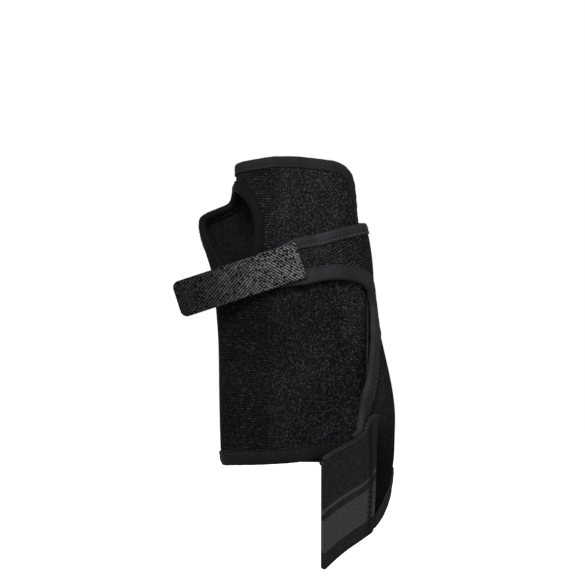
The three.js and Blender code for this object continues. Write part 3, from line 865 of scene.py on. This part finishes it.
def pull_cloth():
    """Grey hook tape: two crossing sets of fine slanted threads with dark pits, with painted light making it
    lighter at its sewn end.
    """
    material, tree, shader = cloth("pull_webbing", 0.8)
    place = flat_place(tree)
    along = axis(tree, place, "X")
    one, two = (ribs(tree, place, slant, pitch) for slant, pitch in PULL_THREADS)
    turn = shares(tree, maths(tree, "MULTIPLY_ADD", noise(tree, place, 8, 2.0), 16.0, along), 26, 46)
    first = product(tree, one, maths(tree, "MULTIPLY_ADD", turn, -0.7, 0.9))
    second = product(tree, two, maths(tree, "MULTIPLY_ADD", turn, 0.65, 0.25))
    lean = maths(tree, "ADD", first, second)
    gap, number = cells(tree, place, 0.95)
    weave = maths(tree, "MULTIPLY_ADD", number, 0.45, product(tree, lean, 0.5))
    base = ramp(tree, weave, [(0.15, 0.006), (0.38, 0.021), (0.60, 0.054), (0.85, 0.108)])
    spot, chance = cells(tree, place, PULL_PIT_PITCH)
    rare = maths(tree, "MULTIPLY_ADD", shares(tree, along, 30, 22), 0.45, chance)
    pit = product(tree, shares(tree, spot, 0.36, 0.24), shares(tree, rare, 0.78, 0.84))
    crossing = product(tree, maths(tree, "SUBTRACT", 1.0, one), maths(tree, "SUBTRACT", 1.0, two))
    pit = maths(tree, "MAXIMUM", pit, shares(tree, crossing, 0.45, 0.70))
    base = mixed(tree, pit, base, (0.003, 0.003, 0.003, 1))
    # Painted light: lighter at the sewn end and darker towards the free end, with a random change of tone
    # over it
    worn = shares(tree, noise(tree, place, 9, 2.0), 0.3, 0.7, 0.85, 1.15)
    base = scaled(tree, base, product(tree, shares(tree, along, 2, 72, 1.0, 0.18), worn))
    raised = maths(tree, "SUBTRACT", lean, pit)
    dressed(tree, shader, base, [(raised, 0.25, 0.7), (number, 0.12, 0.5)])
    return material


def tab_cloth():
    """Dark ribbed tab with a wide and a narrow plain grey band printed across it."""
    material, tree, shader = cloth("tab_cloth", 0.75)
    place = flat_place(tree)
    slant = ribs(tree, place, TAB_SLANT, TAB_PITCH)
    fuzz, number = cells(tree, place, 0.9)
    weave = maths(tree, "MULTIPLY_ADD", slant, 0.6, product(tree, number, 0.4))
    base = ramp(tree, weave, [(0.2, 0.003), (0.8, 0.024)])
    worn = noise(tree, place, 1.4, 4.0, 0.75)
    edge = maths(tree, "MULTIPLY_ADD", worn, 0.8, axis(tree, place, "Y"))
    printed = None
    for low, high in TAB_BANDS:
        inside = product(tree, shares(tree, edge, low, low + BAND_EDGE),
                       shares(tree, edge, high, high - BAND_EDGE))
        printed = inside if printed is None else maths(tree, "ADD", printed, inside)
    ink = mixed(tree, 1.0, ramp(tree, worn, [(0.3, 0.030), (0.7, 0.054)]),
                ramp(tree, slant, [(0.1, 0.85), (0.9, 1.1)]), "MULTIPLY")
    base = mixed(tree, printed, base, ink)
    dressed(tree, shader, base, [(slant, 0.2, 0.7), (fuzz, 0.12, 0.5), (printed, 0.08, 0.4)])
    return material


def lining_cloth():
    """The panel's smooth black lining, with fine upright knit lines."""
    material, tree, shader = cloth("lining", 0.9)
    place = flat_place(tree)
    knit = ribs(tree, place, 90, LINING_PITCH)
    fuzz, number = cells(tree, stretched(tree, place, 1.0, 1.8), 0.8)
    worn = maths(tree, "MULTIPLY_ADD", knit, 0.5, product(tree, number, 0.5))
    base = ramp(tree, worn, [(0.1, 0.0035), (0.9, 0.012)])
    base = tinted(tree, base, place, 0.75, 1.2)
    swells = noise(tree, place, 6, 2.0)
    dressed(tree, shader, base, [(swells, 0.5, 0.3), (knit, 0.15, 0.6), (fuzz, 0.15, 0.5)])
    return material


def hook_backing():
    """The moulded ground that the hooks stand on."""
    material, tree, shader = cloth("hook_backing", 0.55, 0.0, 0.15)
    place = flat_place(tree)
    grid = product(tree, ribs(tree, place, 0, HOOK_PITCH), ribs(tree, place, 90, HOOK_PITCH))
    dressed(tree, shader, ramp(tree, grid, [(0.1, 0.004), (0.8, 0.010)]), [(grid, 0.15, 0.5)])
    return material


def thread_material(name, colour):
    material, tree, shader = cloth(name, 0.6, 0.01, 0.06)
    spin = node(tree, "ShaderNodeTexNoise", {"Scale": 900.0, "Detail": 2.0}).outputs["Fac"]
    low, high = colour * 0.6, colour * 1.5
    link(tree, ramp(tree, spin, [(0.35, low), (0.65, high)]), shader, "Base Color")
    return material


LOOP, ELASTIC, PULL, TAB = loop_cloth(), elastic_cloth(), pull_cloth(), tab_cloth()
LINING, HOOK_BACK = lining_cloth(), hook_backing()
# The panel's tape and the strap's tape are one tape in a shaded and a lit copy: their different tones are
# painted shade and light
PANEL_TAPE = tape_cloth("panel_tape", 0.0048, top=2.1, end=4.0)
HOLE_TAPE = tape_cloth("hole_tape", 0.0026)
STRAP_TAPE = tape_cloth("strap_tape", 0.0135, top=1.25)
# The tape, dim and panel threads are one black thread in lit and shaded copies: their different tones are
# painted light and shade
THREAD = thread_material("tape_thread", 0.040)
DIM_THREAD = thread_material("dim_thread", 0.026)
PANEL_THREAD = thread_material("panel_thread", 0.017)
PALE_THREAD = thread_material("pale_thread", 0.10)
HOOK = thread_material("hook", 0.012)
DARK_THREAD = thread_material("zigzag_thread", 0.006)


def easing(count):
    """Shares from 0 to 1 that start close together, for a rounded corner or a bend."""
    return 1 - np.cos(np.linspace(0, np.pi / 2, count))


# The padded panel and its tapes. Steps between columns are in degrees.
PAD_STEP = 1.5
CORNER_COLUMNS = 22
PAD_ROWS = 112
END_POINTS = 90
RIM_POINTS = 160

corner_end = INNER_END + END_CORNER / MM_PER_DEGREE
pad_angles = np.concatenate([
    INNER_END + END_CORNER / MM_PER_DEGREE * easing(CORNER_COLUMNS),
    np.arange(corner_end + PAD_STEP, OUTER_END + 0.1, PAD_STEP)])
angle_grid, row_grid = grid(pad_angles, np.linspace(0, 1, PAD_ROWS))
z_grid = lerp(pad_height(angle_grid, "bottom"), pad_height(angle_grid, "top"), row_grid)
pad_patch = pad_point(angle_grid, row_grid)
pad_flat = np.stack([angle_grid * MM_PER_DEGREE, z_grid + SEAT_HEIGHT], -1)
rim = rim_spots(RIM_POINTS)
pad_whole = Surface([(pad_patch, pad_flat)])
pad_surface = Surface([(pad_patch, pad_flat)], inside_rim(angle_grid, z_grid, rim).ravel())
panel = sheet_piece("padded_panel_cloth", pad_surface, PAD_WALL, LOOP, LINING,
                    ("padded_panel",))

lap_end = 360 + LAP - CLEARANCE / MM_PER_DEGREE
edge_angles = pad_angles[pad_angles < lap_end]
pad_edge = np.concatenate([
    pad_point(edge_angles[::-1], 0.0),
    pad_point(np.full(END_POINTS, float(INNER_END)), np.linspace(0, 1, END_POINTS + 2)[1:-1]),
    pad_point(edge_angles, 1.0)])
rim_edge = lifted(rim[:, 0], rim[:, 1], PAD_WALL / 2)


def panel_reach(z):
    """The panel's tape is deeper along the bottom edge."""
    return lerp(1.25, 0.9, smooth(z, -SEAT_HEIGHT + END_CORNER, 0))


def hole_reach(z):
    return np.full_like(z, 0.85)


panel_tape = folded_tape("padded_panel_binding", pad_whole, PAD_WALL, pad_edge, PANEL_TAPE,
                         ("padded_panel_tape",), reach=panel_reach)
hole_tape = folded_tape("thumb_hole_binding", pad_whole, PAD_WALL, rim_edge, HOLE_TAPE,
                        ("thumb_hole_tape",), closed=True, reach=hole_reach)
panel_stitches = stitches("padded_panel_stitches", pad_whole, PAD_WALL, pad_edge, PANEL_THREAD,
                          reach=panel_reach)
hole_stitches = stitches("thumb_hole_stitches", pad_whole, PAD_WALL, rim_edge, DARK_THREAD,
                         closed=True, reach=hole_reach)

# The forked elastic panel and its tapes. Columns are closest at the crotch.
ROOT_COLUMNS = 60
LOW_ROWS = 66
HIGH_ROWS = 30
BEND_COLUMNS = 18
NARROW_STEP = 1.6
FLAP_COLUMNS = 50

root_shares = np.linspace(0, 1, ROOT_COLUMNS)
low_rows, high_rows = np.linspace(-1, 0, LOW_ROWS), np.linspace(0, 1, HIGH_ROWS)
root_rows = np.concatenate([low_rows, high_rows[1:]])
bend = easing(BEND_COLUMNS)
opening = NARROW_BOTTOM["angle"][5]
flap_turn = DRAPE["along"][3]
narrow_angles = np.concatenate([
    lerp(CROTCH, opening, bend), np.arange(opening + NARROW_STEP, NARROW_END + 0.1, NARROW_STEP)])
flap_alongs = np.concatenate([
    lerp(0, flap_turn, bend), np.linspace(flap_turn, FLAP_CLOTH_END, FLAP_COLUMNS)[1:]])


def root_patch():
    share, row = grid(root_shares, root_rows)
    points = root_point(share, row)
    return points, np.stack([lerp(LAP, CROTCH, share) * MM_PER_DEGREE, points[..., 2]], -1)


def narrow_patch():
    angle, row = grid(narrow_angles, high_rows)
    points = narrow_point(angle, row)
    return points, np.stack([angle * MM_PER_DEGREE, points[..., 2]], -1)


def flap_patch():
    along, across = grid(flap_alongs, low_rows + 1)
    start = root_point(np.ones_like(across), across - 1)[..., 2]
    flat = np.stack([CROTCH * MM_PER_DEGREE + along * FLAP_LENGTH, start], -1)
    return flap_point(along, across), flat


elastic_surface = Surface([root_patch(), narrow_patch(), flap_patch()])
strap = sheet_piece("forked_strap_cloth", elastic_surface, ELASTIC_WALL, ELASTIC, ELASTIC,
                    ("forked_strap",))

tape_start = OUTER_END - 360 + LAYER_PITCH / MM_PER_DEGREE
tape_shares = root_shares[lerp(LAP, CROTCH - CROTCH_SLANT, root_shares) > tape_start]
upper_edge = np.concatenate([root_point(tape_shares, 1.0), narrow_point(narrow_angles[1:], 1.0)])
crotch_edge = np.concatenate([narrow_point(narrow_angles, 0.0)[::-1], flap_point(flap_alongs[1:], 1.0)])
lower_edge = np.concatenate([flap_point(flap_alongs[1:], 0.0)[::-1], root_point(tape_shares, -1.0)[::-1]])


def crotch_reach(z):
    """The crotch's tape is the deepest, most of all down the loose strap."""
    return lerp(1.5, 1.3, smooth(z, 0, CROTCH_Z))


# Where the elastic panel is sewn on the padded one, a tape folds over both
LAP_STACK = LAP_LIFT + ELASTIC_WALL
LAP_COLUMNS = 24
LAP_ROWS = 60
lap_angles = np.linspace(360 + LAP, OUTER_END + LAYER_PITCH / MM_PER_DEGREE, LAP_COLUMNS)
lap_angle, lap_row = grid(lap_angles, np.linspace(0, 1, LAP_ROWS))
lap_z = lerp(-SEAT_HEIGHT, pad_height(lap_angle, "top"), lap_row)
lap_patch = lifted(lap_angle, lap_z, LAP_STACK / 2)
lap_flat = np.stack([lap_angle * MM_PER_DEGREE, lap_patch[..., 2]], -1)
lap_surface = Surface([(lap_patch, lap_flat)])

strap_tapes, strap_stitches = [], []


def strap_edge(name, surface, wall, edge, thread, nodes=(), reach=plain_reach):
    """A tape and its stitches on an edge of the elastic panel."""
    strap_tapes.append(folded_tape(name + "_binding", surface, wall, edge, STRAP_TAPE, nodes, reach=reach))
    strap_stitches.append(stitches(name + "_stitches", surface, wall, edge, thread, reach=reach))


strap_edge("upper_edge", elastic_surface, ELASTIC_WALL, upper_edge, THREAD, ("upper_edge_tape",))
strap_edge("crotch", elastic_surface, ELASTIC_WALL, crotch_edge, DIM_THREAD, ("crotch_tape",), crotch_reach)
strap_edge("lower_edge", elastic_surface, ELASTIC_WALL, lower_edge, DIM_THREAD, ("lower_edge_tape",))
strap_edge("lap_top", lap_surface, LAP_STACK, lap_patch[:, -1], DIM_THREAD)
strap_edge("lap_bottom", lap_surface, LAP_STACK, lap_patch[::-1, 0], DIM_THREAD)

# The hook tabs, with their zigzag seams
TAB_CORNER_COLUMNS = 10
TAB_COLUMNS = 70
PULL_ROWS = 25
TAB_ROWS = 60
TAB_PATTERN_WIDTH = 72


def tab_shares(length):
    """Places along a tab, closest at its rounded corners."""
    turn = easing(TAB_CORNER_COLUMNS) * TAB_CORNER / length
    middle = np.linspace(TAB_CORNER / length, 1 - TAB_CORNER / length, TAB_COLUMNS)
    return np.concatenate([turn[:-1], middle, 1 - turn[-2::-1]])


def pull_patch():
    share, row = grid(tab_shares(PULL_LENGTH), np.linspace(-1, 1, PULL_ROWS))
    run = share * PULL_LENGTH
    half = PULL_WIDTH / 2 - corner_cut(PULL_LENGTH - run, TAB_CORNER)
    return pull_point(run, half * row), np.stack([run, half * row], -1)


def flap_tab_patch():
    share, row = grid(tab_shares(FLAP_TAB_LENGTH), np.linspace(0, 1, TAB_ROWS))
    return flap_tab_point(share, row), np.stack([share * FLAP_TAB_LENGTH, row * TAB_PATTERN_WIDTH], -1)


pull_surface, tab_surface = Surface([pull_patch()]), Surface([flap_tab_patch()])
pull = sheet_piece("narrow_hook_tab_cloth", pull_surface, HOOK_WALL, PULL, HOOK_BACK,
                   ("narrow_hook_tab",))
tab = sheet_piece("wide_hook_tab_cloth", tab_surface, HOOK_WALL, TAB, HOOK_BACK,
                  ("wide_hook_tab",))

ZIGZAG_ARCH = np.array([-0.2, 0.15, 0.25, 0.15, -0.2])


def zigzag(count, start, end, low, high):
    """Corners of a zigzag seam from start to end, between two distances from the tab's root."""
    at = np.linspace(start, end, count)
    side = np.where(np.arange(count) % 2, low, high)
    return at, side


def zigzag_runs(surface_point, along, side, height):
    """Thread over a seam's corners, arched between them."""
    runs = []
    t = np.linspace(0, 1, len(ZIGZAG_ARCH))
    for k in range(len(along) - 1):
        distance, place = lerp(side[k], side[k + 1], t), lerp(along[k], along[k + 1], t)
        runs.append(surface_point(distance, place, height + ZIGZAG_ARCH))
    return np.array(runs)


def on_flap_tab(distance, row, height):
    return flap_tab_point(distance / FLAP_TAB_LENGTH, row, HOOK_WALL / 2 + height)


def on_pull_tab(distance, offset, height):
    spots, normals = pull_surface.near(pull_point(distance, offset))
    return spots + times(normals, HOOK_WALL / 2 + height)


tab_corners = zigzag(40, 0.04, 0.96, low=5.0, high=12.0)
tab_zigzag = threads("wide_tab_zigzag", zigzag_runs(on_flap_tab, *tab_corners, height=0.1),
                     radius=0.35, material=DARK_THREAD)
pull_corners = zigzag(17, -0.45 * PULL_WIDTH, 0.45 * PULL_WIDTH, low=1.2, high=3.4)
pull_zigzag = threads("narrow_tab_zigzag", zigzag_runs(on_pull_tab, *pull_corners, height=0.05),
                      radius=0.24, material=PALE_THREAD)

ROW_ARCH = 0.35
ROW_SINK = 0.15


def stitch_row(name, surface, wall, line, length, pitch, radius, material):
    """Straight stitches along a line on a sheet's outside. Length and pitch are counts of steps."""
    spots, normals = surface.near(spaced(line, STITCH_STEP))
    starts = np.arange(1, len(spots) - length - 1, pitch)
    index = starts[:, None] + np.arange(length + 1)[None]
    arch = np.sin(np.linspace(0, np.pi, length + 1))[None, :, None] * ROW_ARCH - ROW_SINK
    return threads(name, spots[index] + normals[index] * (wall / 2 + arch), radius, material)


rim_shares = np.linspace(0.02, 0.98, 160)
tab_rim = flap_tab_point(rim_shares, np.full_like(rim_shares, 0.985))
tab_edge_stitches = stitch_row("wide_tab_edge_stitches", tab_surface, HOOK_WALL, tab_rim,
                               length=3, pitch=4, radius=0.2, material=THREAD)
lap_rows = np.linspace(-0.96, 0.92, 200)
lap_seams = [stitch_row("lap_seam_" + side, elastic_surface, ELASTIC_WALL, root_point(share, lap_rows),
                        length=5, pitch=7, radius=0.3, material=THREAD)
             for side, share in (("outer", 0.05), ("inner", 0.15))]

# A hook's points: how far out from the tab's inside, and how far along it
HOOK_OUT = np.array([-0.1, 0.45, 0.75, 0.62])
HOOK_ALONG = np.array([0.0, 0.02, 0.25, 0.5])
HOOK_RADIUS = 0.17


def hooks(name, point, surface, runs, offsets):
    """A field of bent hooks on a tab's inside, facing to and fro by turns."""
    at, over = grid(runs, offsets)
    spots, normals = surface.near(point(at, over).reshape(-1, 3))
    ahead = unit(surface.near(point(at + 1e-3 * np.ptp(runs), over).reshape(-1, 3))[0] - spots)
    on = HOOK_ALONG * np.where(np.arange(len(spots)) % 2, 1, -1)[:, None]
    bent = (spots[:, None] - normals[:, None] * (HOOK_WALL / 2 + HOOK_OUT)[None, :, None]
            + ahead[:, None] * on[..., None])
    return threads(name, bent, HOOK_RADIUS, HOOK, sides=4)


pull_hook_runs = np.arange(44, PULL_LENGTH - 2, HOOK_PITCH)
pull_hook_offsets = np.arange(-8.4, 8.5, HOOK_PITCH)
pull_hooks = hooks("narrow_tab_hooks", pull_point, pull_surface, pull_hook_runs, pull_hook_offsets)
tab_hook_shares = np.arange(0.45, 0.965, HOOK_PITCH / FLAP_TAB_LENGTH)
tab_hook_rows = np.linspace(0.04, 0.96, 42)
tab_hooks = hooks("wide_tab_hooks", flap_tab_point, tab_surface, tab_hook_shares, tab_hook_rows)

# The floor, the light and the photograph's camera
FLOOR_DROP = 0.45
FLOOR_REACH = 6
VIEW_DISTANCE = 1.3
VIEW_WIDTH = 0.3545
EYE_HEIGHT = 0.0227
SENSOR = 36.0

floor_mesh = bpy.data.meshes.new("floor")
sides = ((-1, -1), (1, -1), (1, 1), (-1, 1))
floor_corners = [(x * FLOOR_REACH, y * FLOOR_REACH, -FLOOR_DROP) for x, y in sides]
floor_mesh.from_pydata(floor_corners, [], [(0, 1, 2, 3)])
floor = placed("floor", floor_mesh)
pale, pale_tree, pale_shader = shaded("pale_floor", {
    "Base Color": (0.6, 0.6, 0.6, 1), "Roughness": 0.9, "Emission Color": (1, 1, 1, 1)})
floor_depth = axis(pale_tree, node(pale_tree, "ShaderNodeTexCoord").outputs["Object"], "Y")
link(pale_tree, shares(pale_tree, floor_depth, 0.8, 2.0, 0.05, 0.9), pale_shader, "Emission Strength")
floor_mesh.materials.append(pale)

# White behind the wrap, and dimmer all round it
world = bpy.data.worlds.new("studio")
bpy.context.scene.world = world
world.use_nodes = True
studio = world.node_tree
sky = studio.nodes["Background"]
sky.inputs["Color"].default_value = (1, 1, 1, 1)
towards = node(studio, "ShaderNodeTexCoord").outputs["Generated"]
to_back = node(studio, "ShaderNodeVectorMath", {0: towards, 1: (0, 1, 0)}, operation="DOT_PRODUCT")
behind = shares(studio, to_back.outputs["Value"], 0.88, 0.975)
round_it = shares(studio, axis(studio, towards, "Z"), 0.0, 0.8, 0.38, 0.75)
lit = maths(studio, "MULTIPLY_ADD", behind, maths(studio, "SUBTRACT", 1.0, round_it), round_it)
link(studio, lit, sky, "Strength")


def soft_light(name, place, size, power):
    lamp = bpy.data.lights.new(name, "AREA")
    lamp.shape = "DISK"
    lamp.size = size
    lamp.energy = power
    made = placed(name, lamp)
    made.location = place
    made.rotation_euler = (-Vector(place)).to_track_quat("-Z", "Y").to_euler()


soft_light("key", (-0.12, -0.85, 0.65), size=0.45, power=14)
soft_light("fill", (-0.5, -1.2, 0.1), size=0.8, power=4)

eye = bpy.data.cameras.new("eye")
eye.sensor_width = SENSOR
eye.lens = SENSOR * VIEW_DISTANCE / VIEW_WIDTH
camera = placed("eye", eye)
camera.location = (0, -VIEW_DISTANCE, EYE_HEIGHT)
camera.rotation_euler = (np.pi / 2, 0, 0)
bpy.context.scene.camera = camera
bpy.context.scene.view_settings.view_transform = "Standard"
